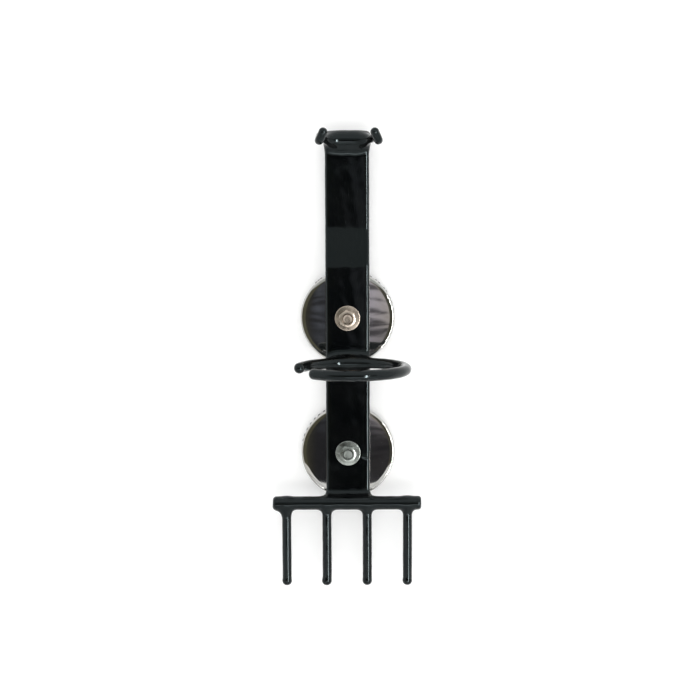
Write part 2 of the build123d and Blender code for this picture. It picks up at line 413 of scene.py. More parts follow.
@dataclass(frozen=True)
class StudioPaper:
    """Matt pale paper, which may glow a little and may be clear from behind."""

    name: str
    shade: Point
    glow: float = 0.0
    clear_back: bool = False

    def build(self) -> bpy.types.Material:
        """Makes the material.

        Returns:
            The material.
        """
        sheet = NodeSheet(self.name)
        sheet.set(Base_Color=self.shade, Roughness=0.9, Specular_IOR_Level=0.1)
        sheet.set(Emission_Color=WHITE, Emission_Strength=self.glow)
        if self.clear_back:
            clear = sheet.nodes.new("ShaderNodeBsdfTransparent")
            side = sheet.nodes.new("ShaderNodeNewGeometry")
            choice = sheet.nodes.new("ShaderNodeMixShader")
            sheet.join(side.outputs["Backfacing"], choice.inputs["Fac"])
            sheet.join(sheet.shader.outputs["BSDF"], choice.inputs[1])
            sheet.join(clear.outputs["BSDF"], choice.inputs[2])
            sheet.join(choice.outputs["Shader"], sheet.output.inputs["Surface"])
        return sheet.material


@dataclass(frozen=True)
class ScreenGlow:
    """Dark glowing screen that the faces mirror: olive and brown sides, and a pale streaked band."""

    name: str = "screen_glow"
    half_width: float = 1.3
    band_fade: tuple[float, float] = (-0.44, -0.16)
    dark: Point = (0.02, 0.02, 0.024)
    olive: Point = (0.13, 0.125, 0.085)
    brown: Point = (0.10, 0.095, 0.075)
    blue: Point = (0.09, 0.10, 0.12)
    mauve: Point = (0.60, 0.56, 0.63)
    beige: Point = (0.54, 0.49, 0.46)

    def build(self) -> bpy.types.Material:
        """Makes the material.

        Returns:
            The material.
        """
        sheet = NodeSheet(self.name)
        # the screen glows with its own emission, in the colours joined below
        sheet.set(Base_Color=NEAR_BLACK, Roughness=0.9, Specular_IOR_Level=0.0, Emission_Strength=1.0)
        parts = sheet.nodes.new("ShaderNodeSeparateXYZ")
        sheet.join(sheet.place, parts.inputs["Vector"])
        across = sheet.spread(parts.outputs["X"], (-self.half_width, self.half_width), (0.0, 1.0))
        plain = [(0.37, self.olive), (0.43, self.dark), (0.60, self.dark), (0.655, self.brown)]
        bands = [
            (0.42, BLACK),
            (0.44, self.blue),
            (0.47, BLACK),
            (0.50, BLACK),
            (0.545, self.mauve),
            (0.60, self.beige),
            (0.66, BLACK),
        ]
        total = sheet.nodes.new("ShaderNodeMix")
        total.data_type = "RGBA"
        total.blend_type = "ADD"
        sheet.join(self.band_strength(sheet, parts.outputs["Z"]), total.inputs["Factor"])
        sheet.join(sheet.colours(across, plain), total.inputs["A"])
        sheet.join(sheet.colours(across, bands), total.inputs["B"])
        sheet.join(total.outputs["Result"], sheet.shader.inputs["Emission Color"])
        return sheet.material

    def band_strength(self, sheet: NodeSheet, height: bpy.types.NodeSocket) -> bpy.types.NodeSocket:
        """Fades the pale band downwards and breaks it into streaks.

        Args:
            sheet: The material's node tree.
            height: Height on the screen.

        Returns:
            The band's strength.
        """
        fade = sheet.spread(height, self.band_fade, (0.03, 1.0))
        streaks = sheet.noise(13.0, detail=3.0, vector=sheet.stretched((0.35, 1.0, 2.4), (0, 8, 0)))
        folds = sheet.spread(streaks, (0.42, 0.56), (0.2, 1.3))
        strength = sheet.nodes.new("ShaderNodeMath")
        strength.operation = "MULTIPLY"
        sheet.join(fade, strength.inputs[0])
        sheet.join(folds, strength.inputs[1])
        return strength.outputs[0]


@dataclass(frozen=True)
class UpperScreenGlow:
    """Dim grey glowing screen above the dark one, which the joggle's slope mirrors."""

    name: str = "upper_screen_glow"
    glow: Point = (0.56, 0.59, 0.575)

    def build(self) -> bpy.types.Material:
        """Makes the material.

        Returns:
            The material.
        """
        sheet = NodeSheet(self.name)
        # the grey screen glows with its own emission
        sheet.set(Base_Color=NEAR_BLACK, Emission_Color=self.glow, Emission_Strength=1.0)
        return sheet.material


# ---------------------------------------------------------------------------- mesh helpers


def filleted_path(corners: list[Point], radii: list[float], step: float) -> np.ndarray:
    """Rounds the inner corners of a path with arcs.

    Args:
        corners: The path's corner points, its two ends among them.
        radii: One bend radius for each inner corner.
        step: Longest distance between the points given back.

    Returns:
        The path's points, one row each.
    """
    points = [np.array(corners[0], float)]
    for before, corner, after, radius in zip(corners, corners[1:], corners[2:], radii):
        apex = np.array(corner, float)
        back = np.array(before, float) - apex
        ahead = np.array(after, float) - apex
        back /= np.linalg.norm(back)
        ahead /= np.linalg.norm(ahead)
        half = math.acos(float(np.clip(back @ ahead, -1.0, 1.0))) / 2
        inward = (back + ahead) / np.linalg.norm(back + ahead)
        centre = apex + inward * radius / math.sin(half)
        start = apex + back * radius / math.tan(half) - centre
        turn = math.pi - 2 * half
        side = -back
        count = max(2, math.ceil(radius * turn / step))
        for part in range(count + 1):
            angle = turn * part / count
            points.append(centre + start * math.cos(angle) + side * radius * math.sin(angle))
    points.append(np.array(corners[-1], float))
    full = [points[0]]
    for point in points[1:]:
        gap = np.linalg.norm(point - full[-1])
        count = max(1, math.ceil(gap / step))
        origin = full[-1]
        full.extend(origin + (point - origin) * part / count for part in range(1, count + 1))
    kept = [full[0]]
    for before, point in zip(full, full[1:]):
        if not np.allclose(point, before):
            kept.append(point)
    return np.array(kept)


def rounded_outline(corners: list[tuple[float, float]], radii: list[float]) -> list[tuple[float, float]]:
    """Rounds the corners of a closed outline of radius and depth.

    Args:
        corners: Corner points of the outline.
        radii: One radius for each corner.

    Returns:
        The outline's points, without the first one again at its end.
    """
    arc_step = 0.18
    outline: list[tuple[float, float]] = []
    count = len(corners)
    for index, radius in enumerate(radii):
        trio = [(*corners[(index + offset) % count], 0.0) for offset in (-1, 0, 1)]
        if radius <= 0:
            outline.append(corners[index])
            continue
        arc = filleted_path(trio, [radius], arc_step)
        outline.extend(tuple(point[:2]) for point in arc if is_on_arc(point, trio, radius))
    return outline


def is_on_arc(point: np.ndarray, trio: list[Point], radius: float) -> bool:
    """Tells whether a point of a rounded corner lies on its arc.

    Args:
        point: The point.
        trio: The corner's neighbours and the corner itself, in the middle.
        radius: The arc's radius.

    Returns:
        True for the arc and its two ends.
    """
    apex = np.array(trio[1])
    back = (np.array(trio[0]) - apex) / np.linalg.norm(np.array(trio[0]) - apex)
    ahead = (np.array(trio[2]) - apex) / np.linalg.norm(np.array(trio[2]) - apex)
    half = math.acos(float(np.clip(back @ ahead, -1.0, 1.0))) / 2
    return float(np.linalg.norm(point - apex)) <= radius / math.tan(half) + 1e-6


def finished(bm: bmesh.types.BMesh, name: str, edges: Edges) -> bpy.types.Object:
    """Turns a bmesh in millimetres into an object in metres.

    Args:
        bm: The mesh, which is freed.
        name: The piece's name.
        edges: How it is shaded.

    Returns:
        The object, at the origin.
    """
    bmesh.ops.remove_doubles(bm, verts=bm.verts, dist=1e-4)
    bmesh.ops.recalc_face_normals(bm, faces=bm.faces)
    bmesh.ops.scale(bm, vec=(MM, MM, MM), verts=bm.verts)
    mesh = bpy.data.meshes.new(name)
    bm.to_mesh(mesh)
    bm.free()
    piece = bpy.data.objects.new(name, mesh)
    bpy.context.scene.collection.objects.link(piece)
    mesh.shade_smooth()
    if edges is Edges.MACHINED:
        mesh.set_sharp_from_angle(angle=math.radians(32))
    return piece


def lathed(outline: list[tuple[float, float]], z: float, steps: int) -> bmesh.types.BMesh:
    """Turns a closed outline about an axis along Y.

    Args:
        outline: Radius and depth of each point.
        z: Height of the axis.
        steps: Steps in the full turn.

    Returns:
        The turned mesh.
    """
    bm = bmesh.new()
    verts = [bm.verts.new((radius, depth, 0.0)) for radius, depth in outline]
    pairs = zip(verts, verts[1:] + verts[:1])
    loop = [bm.edges.new(pair) for pair in pairs]
    bmesh.ops.spin(
        bm, geom=verts + loop, cent=(0, 0, 0), axis=(0, 1, 0), angle=math.tau, steps=steps, use_merge=True
    )
    bmesh.ops.translate(bm, verts=bm.verts, vec=(0, 0, z))
    return bm


def swept_rod(bm: bmesh.types.BMesh, path: np.ndarray, radius: float, sides: int = 20) -> None:
    """Adds a round rod with flat ends along a path.

    Args:
        bm: The mesh that it is added to.
        path: Points of the centre line.
        radius: The rod's radius.
        sides: Sides of its section.
    """
    heading = Vector(path[1] - path[0]).normalized()
    place = Matrix.Translation(Vector(path[0])) @ heading.to_track_quat("Z", "Y").to_matrix().to_4x4()
    made = bmesh.ops.create_circle(bm, cap_ends=True, segments=sides, radius=radius, matrix=place)
    faces = list({face for vert in made["verts"] for face in vert.link_faces})
    for index in range(1, len(path)):
        ahead = path[min(index + 1, len(path) - 1)] - path[index - 1]
        turned = Vector(ahead).normalized()
        swing = heading.rotation_difference(turned).to_matrix()
        grown = bmesh.ops.extrude_face_region(bm, geom=faces)
        verts = [item for item in grown["geom"] if isinstance(item, bmesh.types.BMVert)]
        old = Vector(path[index - 1])
        bmesh.ops.rotate(bm, verts=verts, cent=old, matrix=swing)
        bmesh.ops.translate(bm, verts=verts, vec=Vector(path[index]) - old)
        if index > 1:
            bmesh.ops.delete(bm, geom=faces, context="FACES_ONLY")
        faces = [item for item in grown["geom"] if isinstance(item, bmesh.types.BMFace)]
        heading = turned


def dress(piece: bpy.types.Object, finish: bpy.types.Material, slot: str, *nodes: str) -> None:
    """Gives a piece its finish and its body, and hides the CAD nodes that it stands for.

    Args:
        piece: The piece.
        finish: Its material.
        slot: Not used.
        nodes: CAD nodes that it replaces.
    """
    piece.data.materials.clear()
    piece.data.materials.append(finish)
    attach(piece, ROOT)
    if nodes:
        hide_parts(*nodes)
    LOG.info("%s: %d faces, %s", piece.name, len(piece.data.polygons), finish.name)


def ring_edges(loop: list[bmesh.types.BMVert]) -> list[bmesh.types.BMEdge]:
    """Edges that join the points of one loop to each other.

    Args:
        loop: The loop's points.

    Returns:
        Its edges.
    """
    members = set(loop)
    return list({edge for vert in loop for edge in vert.link_edges if edge.other_vert(vert) in members})


def round_loop(
    bm: bmesh.types.BMesh, segments: int, radius: float, depth: float
) -> list[bmesh.types.BMVert]:
    """Adds a circle of points about the Y axis.

    Args:
        bm: The mesh that it is added to.
        segments: Points in the circle.
        radius: Its radius.
        depth: Its place along Y.

    Returns:
        The circle's points, in order.
    """
    made = bmesh.ops.create_circle(bm, segments=segments, radius=radius)["verts"]
    for vert in made:
        vert.co = (vert.co.x, depth, vert.co.y)
    return made


def bridged(bm: bmesh.types.BMesh, loops: list[list[bmesh.types.BMVert]]) -> None:
    """Joins each loop to the next one with faces.

    Args:
        bm: The mesh.
        loops: The loops, in order.
    """
    for first, second in zip(loops, loops[1:]):
        bmesh.ops.bridge_loops(bm, edges=ring_edges(first) + ring_edges(second))


# ---------------------------------------------------------------------------- vinyl skin


@dataclass
class VinylSkin:
    """One continuous dipped skin over the welded frame, with webs in its corners and drips.

    Lengths are in millimetres. The web fields are the reach of the vinyl that fills the corner
    between two joined parts. end_web and fold hold a radius and a reach: of the thick web at the
    crossbar's left end, and of the small fold beside the lower washer. crossbar_corners are the
    rounds of its left and right end, ring_gap the angles of the gap's two ends from the front, and
    drips the size of the drop at each prong's tip.
    """

    finish: bpy.types.Material
    coat: float = 0.6
    prong_coat: float = 0.92
    edge_radius: float = 2.15
    crown: float = 0.22
    joggle_bottom: float = 84.25
    joggle_top: float = 110.85
    joggle_softness: float = 1.1
    cradle_half_width: float = 18.5
    cradle_reach: float = 49.0
    cradle_crest: float = 22.0
    cradle_splay: float = 3.0
    tip_lean: float = 2.7
    ring_radius: float = 37.0
    ring_offset: float = 3.0
    ring_gap: tuple[float, float] = (43.0, 15.0)
    crossbar_corners: tuple[float, float] = (2.6, 2.0)
    cradle_web: float = 11.0
    ring_web: float = 7.0
    fork_web: float = 6.0
    prong_web: float = 4.5
    end_web: tuple[float, float] = (2.5, 3.0)
    fold: tuple[float, float] = (0.55, 0.9)
    drop_web: float = 1.0
    voxel: float = 0.8
    relax_rounds: int = 4
    wave_height: float = 0.05
    drips: list[float] = field(default_factory=lambda: [0.12, 0.45, 0.15, 0.2])

    def __post_init__(self) -> None:
        """Reads the steel frame's places from the frame, in millimetres."""
        self.bar = [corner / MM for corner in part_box("backbone_bar")]
        self.crossbar = [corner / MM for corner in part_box("fork_crossbar")]
        self.ring = [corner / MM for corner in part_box("ring_rod")]
        self.cradle = [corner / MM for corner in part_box("cradle_rod")]
        self.prongs = [[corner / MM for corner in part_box(f"fork_prong_{n}")] for n in range(1, 5)]
        self.cradle_line = self.cradle_path()
        self.ring_line = self.ring_path()

    def bar_centre_y(self, z: np.ndarray) -> np.ndarray:
        """Finds the depth of the bar's middle plane, with soft bends at the joggle.

        Args:
            z: Heights.

        Returns:
            The depth at each height.
        """
        low, high = self.bar
        front = low.y + BAR_THICKNESS / 2
        rear = high.y - BAR_THICKNESS / 2
        soft = self.joggle_softness

        def ramp(start: float) -> np.ndarray:
            """Smooth ramp that starts to climb at a height."""
            return np.logaddexp(0.0, (z - start) / soft) * soft

        rise = (ramp(self.joggle_bottom) - ramp(self.joggle_top)) / (self.joggle_top - self.joggle_bottom)
        return front + (rear - front) * rise

    def bar_distance(self, points: np.ndarray) -> np.ndarray:
        """Measures from the coated bar's surface, which has a slight crown in front.

        Args:
            points: The points, one row each.

        Returns:
            Their distances, less than nothing inside.
        """
        low, high = self.bar
        x, y, z = points.T
        bow = self.crown * np.clip(1 - (x / high.x) ** 2, 0.0, 1.0) * (y < self.bar_centre_y(z))
        depth = high.y - low.y - BAR_THICKNESS
        slope = math.cos(math.atan2(depth, self.joggle_top - self.joggle_bottom))
        on_joggle = (z > self.joggle_bottom) & (z < self.joggle_top)
        flat = np.where(on_joggle, slope, 1.0)
        middle = (low.z + high.z) / 2
        sides = np.stack(
            [
                np.abs(x) - (high.x - low.x) / 2 - self.coat,
                np.abs(y - self.bar_centre_y(z)) * flat - BAR_THICKNESS / 2 - self.coat - bow,
                np.abs(z - middle) - (high.z - low.z) / 2 - self.coat,
            ],
            axis=1,
        )
        sides += self.edge_radius
        outside = np.linalg.norm(np.maximum(sides, 0.0), axis=1)
        return outside + np.minimum(sides.max(axis=1), 0.0) - self.edge_radius

    def cradle_path(self) -> np.ndarray:
        """Draws the centre line of the cradle rod, from its left tip to its right tip.

        Returns:
            The line's points, one row each.
        """
        _, high = self.cradle
        root_y = high.y - SMALL_ROD / 2
        root_z = self.bar[1].z - 5.0
        half = self.cradle_half_width
        splay = self.cradle_splay
        crest = self.cradle_crest
        crest_z = root_z + 2.2
        reach = self.cradle_reach
        bend = (root_y - reach, root_z - 1.5)
        tip = (bend[0] - 3.0, bend[1] + 5.8)
        lean = self.tip_lean
        tip_bend = 3.0
        arm_bend = 25.0
        root_bend = 16.0
        bends = [tip_bend, arm_bend, root_bend]
        corners = [
            (-half + lean, *tip),
            (-half, *bend),
            (-half, root_y - crest, crest_z),
            (-half, root_y, root_z),
            (half, root_y, root_z),
            (half + splay * crest / reach, root_y - crest, crest_z),
            (half + splay, *bend),
            (half + splay - lean, *tip),
        ]
        return filleted_path(corners, bends + bends[::-1], step=1.0)

    def ring_path(self) -> np.ndarray:
        """Draws the centre line of the open ring, from the front of its gap to the back of it.

        Returns:
            The line's points, one row each.
        """
        low, high = self.ring
        radius = self.ring_radius
        centre = (self.ring_offset, high.y - RING_ROD / 2 - radius, (low.z + high.z) / 2)
        near, far = self.ring_gap
        start = math.radians(270.0 - near)
        turn = math.radians(360.0 - near - far)
        count = 210
        angles = [start + turn * part / count for part in range(count + 1)]
        return np.array(
            [
                (centre[0] + radius * math.cos(angle), centre[1] + radius * math.sin(angle), centre[2])
                for angle in angles
            ]
        )

    def crossbar_distance(self, points: np.ndarray) -> np.ndarray:
        """Measures from the coated crossbar, rounder at its left end than at its right.

        Args:
            points: The points, one row each.

        Returns:
            Their distances, less than nothing inside.
        """
        low, high = self.crossbar
        radius = (high.z - low.z) / 2 + self.prong_coat
        x = points[:, 0] - (low.x + high.x) / 2
        y = points[:, 1] - (low.y + high.y) / 2
        z = points[:, 2] - (low.z + high.z) / 2
        corner = np.where(x < 0, *self.crossbar_corners)
        radial = np.hypot(y, z) - radius + corner
        along = np.abs(x) - (high.x - low.x) / 2 - self.coat + corner
        outside = np.hypot(np.maximum(radial, 0), np.maximum(along, 0))
        return outside + np.minimum(np.maximum(radial, along), 0) - corner

    def end_web_path(self) -> np.ndarray:
        """Draws the line of the thick web between the crossbar's left end and the first prong.

        Returns:
            The line's two ends.
        """
        axis = self.prong_path(0)[0]
        outer = (self.crossbar[0].x + 3.0, axis[1], axis[2] - 2.2)
        inner = (axis[0] - 1.0, axis[1], axis[2] - 5.2)
        return np.array([outer, inner])

    def fold_path(self) -> np.ndarray:
        """Draws the line of the small fold in the skin beside the lower washer.

        Returns:
            The line's points.
        """
        low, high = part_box("washer_lower")
        x = high.x / MM
        y = self.bar[0].y - self.coat
        z = (low.z + high.z) / 2 / MM
        return np.array([(x + 1.6, y, z - 2.0), (x + 3.2, y, z - 3.1), (x + 5.4, y + 0.2, z - 3.4)])

    def prong_path(self, number: int) -> np.ndarray:
        """Draws the centre line of one prong.

        Args:
            number: Which prong, from 0 at the left.

        Returns:
            The line's two ends: on the crossbar's axis, and in the middle of the round tip.
        """
        low, high = self.prongs[number]
        x = (low.x + high.x) / 2
        y = (low.y + high.y) / 2
        top = (self.crossbar[0].z + self.crossbar[1].z) / 2
        tip = low.z + SMALL_ROD / 2
        return np.array([(x, y, top), (x, y, tip)])

    @staticmethod
    def lengthened(path: np.ndarray, extra: float) -> np.ndarray:
        """A path with its two ends drawn out straight.

        Args:
            path: The path.
            extra: Length added at each end.

        Returns:
            The longer path.
        """
        longer = path.copy()
        for end, inner in ((0, 1), (-1, -2)):
            run = path[end] - path[inner]
            longer[end] += run / np.linalg.norm(run) * extra
        return longer

    @staticmethod
    def path_distance(points: np.ndarray, path: np.ndarray, reach: float = 14.0) -> np.ndarray:
        """Distance of each point from a path.

        Args:
            points: The points, one row each.
            path: Points of the path.
            reach: Distance past which a point only counts as far.

        Returns:
            The distances, none over the reach.
        """
        best = np.full(len(points), reach)
        close = ((points > path.min(0) - reach) & (points < path.max(0) + reach)).all(axis=1)
        near = points[close]
        found = np.full(len(near), reach)
        for start, end in zip(path, path[1:]):
            run = end - start
            share = np.clip((near - start) @ run / (run @ run), 0.0, 1.0)
            found = np.minimum(found, np.linalg.norm(near - start - share[:, None] * run, axis=1))
        best[close] = found
        return best

    @staticmethod
    def webbed(first: np.ndarray, second: np.ndarray, web: float) -> np.ndarray:
        """Joins two surfaces with a smooth web between them.

        Args:
            first: Distances from the first surface.
            second: Distances from the second surface.
            web: Reach of the web.

        Returns:
            Distances from the joined surface.
        """
        share = np.clip(0.5 + 0.5 * (second - first) / web, 0.0, 1.0)
        return second * (1 - share) + first * share - web * share * (1 - share)

    def waves(self, points: np.ndarray) -> np.ndarray:
        """Makes the slow unevenness of the dipped skin.

        Args:
            points: The points, one row each.

        Returns:
            How far the skin stands out at each.
        """
        x, y, z = points.T
        slow = np.sin(0.21 * z + 0.35 * x + 1.3) * np.sin(0.09 * z - 0.27 * x + 0.5 * y)
        quick = np.sin(0.63 * z + 0.8 * np.sin(0.31 * x + 0.2)) * np.sin(0.47 * x + 0.55 * y + 0.8)
        return self.wave_height * (slow + 0.4 * quick)

    def distance(self, points: np.ndarray) -> np.ndarray:
        """Measures from the whole skin's surface.

        Args:
            points: The points, one row each.

        Returns:
            Their distances, less than nothing inside.
        """
        cradle = self.path_distance(points, self.cradle_line) - SMALL_ROD / 2 - self.coat
        ring = self.path_distance(points, self.ring_line) - RING_ROD / 2 - self.coat
        body = self.webbed(self.bar_distance(points), cradle, self.cradle_web)
        body = self.webbed(body, ring, self.ring_web)
        radius, reach = self.fold
        body = self.webbed(body, self.path_distance(points, self.fold_path()) - radius, reach)
        fork = self.crossbar_distance(points)
        radius, reach = self.end_web
        fork = self.webbed(fork, self.path_distance(points, self.end_web_path()) - radius, reach)
        for number, drip in enumerate(self.drips):
            path = self.prong_path(number)
            prong = self.path_distance(points, path) - SMALL_ROD / 2 - self.prong_coat
            tip = path[-1] + np.array([-1.2 * drip, 0.0, -0.4 * drip])
            drop = np.linalg.norm(points - tip, axis=1) - SMALL_ROD / 2 - self.coat - 0.5 * drip
            prong = self.webbed(prong, drop, self.drop_web)
            fork = self.webbed(fork, prong, self.prong_web)
        return self.webbed(body, fork, self.fork_web) - self.waves(points)

    def blank(self) -> bpy.types.Object:
        """Makes bar and rods as plain overlapping shapes, merged into one even mesh.

        Returns:
            The blank, with its merge modifier.
        """
        low, high = self.bar
        bm = bmesh.new()
        size = (high.x - low.x + 2 * self.coat, 4.4, high.z - low.z + 2 * self.coat)
        middle = (0.0, 0.0, (low.z + high.z) / 2)
        place = Matrix.Translation(middle) @ Matrix.Diagonal((*size, 1.0))
        bmesh.ops.create_cube(bm, size=1.0, matrix=place)
        upright = [edge for edge in bm.edges if abs(edge.verts[0].co.z - edge.verts[1].co.z) > 1.0]
        bmesh.ops.subdivide_edges(bm, edges=upright, cuts=160, use_grid_fill=True)
        heights = np.array([vert.co.z for vert in bm.verts])
        for vert, shift in zip(bm.verts, self.bar_centre_y(heights)):
            vert.co.y += float(shift)
        thin = 2.9
        thick = 3.7
        crossbar = 4.4
        swept_rod(bm, self.lengthened(self.cradle_line, 2.8), thin)
        swept_rod(bm, self.lengthened(self.ring_line[::3], 3.5), thick)
        axis_y = (self.crossbar[0].y + self.crossbar[1].y) / 2
        axis_z = (self.crossbar[0].z + self.crossbar[1].z) / 2
        ends = [self.crossbar[0].x - self.coat, self.crossbar[1].x + self.coat]
        swept_rod(bm, np.array([(end, axis_y, axis_z) for end in ends]), crossbar)
        for number in range(len(self.drips)):
            path = self.prong_path(number)
            path[-1, 2] -= 3.0
            swept_rod(bm, path, thin)
        bmesh.ops.recalc_face_normals(bm, faces=bm.faces)
        piece = finished(bm, "vinyl_skin_blank", Edges.ROUND)
        merge = piece.modifiers.new("merge", "REMESH")
        merge.mode = "VOXEL"
        merge.voxel_size = self.voxel * MM
        merge.adaptivity = 0.0
        return piece

    def build(self) -> bpy.types.Object:
        """Makes the skin: the merged blank, drawn onto the dipped surface and evened out.

        Returns:
            The finished piece.
        """
        blank = self.blank()
        graph = bpy.context.evaluated_depsgraph_get()
        mesh = bpy.data.meshes.new_from_object(blank.evaluated_get(graph))
        bpy.data.objects.remove(blank)
        bm = bmesh.new()
        bm.from_mesh(mesh)
        bpy.data.meshes.remove(mesh)
        bmesh.ops.scale(bm, vec=(1 / MM, 1 / MM, 1 / MM), verts=bm.verts)
        for _ in range(self.relax_rounds):
            self.draw_onto_surface(bm, steps=2)
            bmesh.ops.smooth_vert(
                bm, verts=bm.verts, factor=0.5, use_axis_x=True, use_axis_y=True, use_axis_z=True
            )
        self.draw_onto_surface(bm, steps=4)
        piece = finished(bm, "vinyl_skin", Edges.ROUND)
        dress(piece, self.finish, "black_vinyl", "vinyl_coating")
        return piece

    def draw_onto_surface(self, bm: bmesh.types.BMesh, steps: int) -> None:
        """Moves every point along the slope of the distance onto the dipped surface.

        Args:
            bm: The mesh, in millimetres.
            steps: How often each point is moved.
        """
        points = np.array([vert.co for vert in bm.verts])
        probe = 0.02
        for _ in range(steps):
            here = self.distance(points)
            slope = np.empty_like(points)
            for axis in range(3):
                shifted = points.copy()
                shifted[:, axis] += probe
                slope[:, axis] = (self.distance(shifted) - here) / probe
            length = np.maximum(np.linalg.norm(slope, axis=1), 0.3)
            move = np.clip(here / length, -2.5, 2.5)
            points -= slope / length[:, None] * move[:, None]
        for vert, point in zip(bm.verts, points):
            vert.co = point


# ---------------------------------------------------------------------------- magnets and fasteners


@dataclass
class MagnetMount:
    """One cup magnet with its ring magnet, bolt, washer and nut.

    Lengths are in millimetres and angles of the marks in degrees from +X towards +Z.
    """

    place: Place
    chrome: bpy.types.Material
    ferrite: bpy.types.Material
    zinc: bpy.types.Material
    hex_size: float = 11.1
    head_height: float = 4.0
    thread_pitch: float = 1.27
    thread_core: float = 2.75
    thread_crest: float = 3.12
    nut_bore: float = 3.22
    nut_sink: float = 3.75
    cup_wall: float = 1.5
    cup_bore: float = 3.5
    dome: float = 0.38
    turn: float = 0.0
    mark_angles: tuple[float, ...] = ()

    def node(self, name: str) -> str:
        """Name of one of this mount's CAD nodes."""
        return f"{name}_{self.place.value}"

    def span(self, name: str) -> tuple[float, float, float, float]:
        """Measures one of this mount's CAD nodes.

        Args:
            name: The node's name without the mount's.

        Returns:
            Back depth, front depth, outer radius and height of the axis, in millimetres.
        """
        low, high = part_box(self.node(name))
        return high.y / MM, low.y / MM, (high.x - low.x) / 2 / MM, (high.z + low.z) / 2 / MM

    def build(self) -> None:
        """Makes every piece of the mount."""
        self.cup()
        self.marks()
        self.magnet()
        self.bolt()
        self.washer()
        self.nut()

    def cup(self) -> None:
        """Drawn cup with a rounded shoulder, a shallow crowned face and a trimmed rim."""
        back, front, radius, z = self.span("magnet_cup")
        wall = self.cup_wall
        bore = self.cup_bore
        crowned = 30
        reaches = (bore, 8, 12, 16, 20, 24, 27, crowned)
        shoulder = 32.4
        dome = [(reach, front + self.dome * (reach / crowned) ** 2) for reach in reaches]
        corners = [
            *dome,
            (shoulder, front + self.dome + 0.18),
            (radius, front + self.dome + 1.06),
            (radius, back),
            (radius - wall, back),
            (radius - wall, front + wall),
            (bore, front + wall),
        ]
        radii = [0.3, *([0.0] * 6), 8.0, 0.9, 0.6, 0.35, 0.35, 0.8, 0.2]
        outline = rounded_outline(corners, radii)
        piece = finished(lathed(outline, z, 192), self.node("cup_shell"), Edges.ROUND)
        dress(piece, self.chrome, "cup_chrome", self.node("magnet_cup"))

    def marks(self) -> None:
        """Row of small raised marks round part of the cup's side, in the dark ferrite finish as painted
        shade of punched notches.
        """
        _, _, radius, z = self.span("magnet_cup")
        bm = bmesh.new()
        for degrees in self.mark_angles:
            turn = Matrix.Rotation(-math.radians(degrees), 4, "Y")
            size = Matrix.Diagonal((0.5, 1.5, 1.7, 1.0))
            place = turn @ Matrix.Translation((radius, -1.6, 0.0)) @ size
            made = bmesh.ops.create_cube(bm, size=1.0, matrix=place)
            edges = list({edge for vert in made["verts"] for edge in vert.link_edges})
            bmesh.ops.bevel(
                bm, geom=edges, offset=0.14, segments=2, profile=0.5, affect="EDGES", material=-1
            )
        bmesh.ops.translate(bm, verts=bm.verts, vec=(0, 0, z))
        piece = finished(bm, self.node("painted_shade_marks"), Edges.MACHINED)
        # the marks' dark ferrite finish is painted shade, standing for the shade inside punched notches
        dress(piece, self.ferrite, "ferrite")

    def magnet(self) -> None:
        """Ferrite ring with broken edges."""
        back, front, radius, z = self.span("ring_magnet")
        bore = 9.5
        corners = [(bore, front), (radius, front), (radius, back), (bore, back)]
        outline = rounded_outline(corners, [0.3, 0.3, 0.5, 0.5])
        piece = finished(lathed(outline, z, 144), self.node("ferrite_ring"), Edges.ROUND)
        dress(piece, self.ferrite, "ferrite", self.node("ring_magnet"))

    def washer(self) -> None:
        """Punched washer: rounded on the side that faces out, with a slight dish."""
        back, front, radius, z = self.span("washer")
        bore = 3.95
        flat = radius - 4.0
        dish = 0.12
        corners = [(bore, back), (bore, front), (flat, front), (radius, front + dish), (radius, back)]
        outline = rounded_outline(corners, [0.1, 0.35, 6.0, 0.6, 0.12])
        piece = finished(lathed(outline, z, 96), self.node("flat_washer"), Edges.ROUND)
        dress(piece, self.zinc, "zinc_plate", self.node("washer"))

    def hex_loops(
        self,
        bm: bmesh.types.BMesh,
        depths: tuple[float, float],
        face_radius: float,
        chamfers: tuple[bool, bool],
    ) -> tuple[list[bmesh.types.BMVert], list[bmesh.types.BMVert]]:
        """Adds the outer walls of a hexagon with turned chamfers.

        Args:
            bm: The mesh that they are added to.
            depths: Back and front depth.
            face_radius: Radius of the round bearing face that the chamfer leaves.
            chamfers: Whether the back and the front are chamfered.

        Returns:
            The round loops at the back and at the front.
        """
        segments = 96
        lean = math.tan(math.radians(30))
        loops = []
        back, front = depths
        for depth, inward, chamfered, is_face in (
            (back, -1, chamfers[0], True),
            (back, -1, chamfers[0], False),
            (front, 1, chamfers[1], False),
            (front, 1, chamfers[1], True),
        ):
            made = bmesh.ops.create_circle(bm, segments=segments, radius=1.0)["verts"]
            for number, vert in enumerate(made):
                angle = math.tau * number / segments
                flat = (angle + self.turn) % (math.pi / 3) - math.pi / 6
                wall = self.hex_size / 2 / math.cos(flat)
                drop = (wall - face_radius) * lean if chamfered else 0.0
                reach = face_radius if is_face else wall
                shift = 0.0 if is_face else inward * max(drop, 0.05)
                vert.co = (reach * math.cos(angle), depth + shift, reach * math.sin(angle))
            loops.append(made)
        bridged(bm, loops)
        return loops[0], loops[-1]

    def nut(self) -> None:
        """Hexagon nut with turned chamfers and a countersunk, threaded bore."""
        back, front, _, z = self.span("nut")
        bm = bmesh.new()
        rear, face = self.hex_loops(bm, (back, front), self.hex_size * 0.47, (True, True))
        sink = self.nut_sink
        bore = self.nut_bore
        lead = 0.55
        walls = [(sink, front), (bore, front + lead), (bore, back - lead), (sink, back)]
        loops = [round_loop(bm, len(face), radius, depth) for radius, depth in walls]
        bridged(bm, [face, *loops, rear])
        bmesh.ops.translate(bm, verts=bm.verts, vec=(0, 0, z))
        piece = finished(bm, self.node("hex_nut"), Edges.MACHINED)
        dress(piece, self.zinc, "zinc_plate", self.node("nut"))

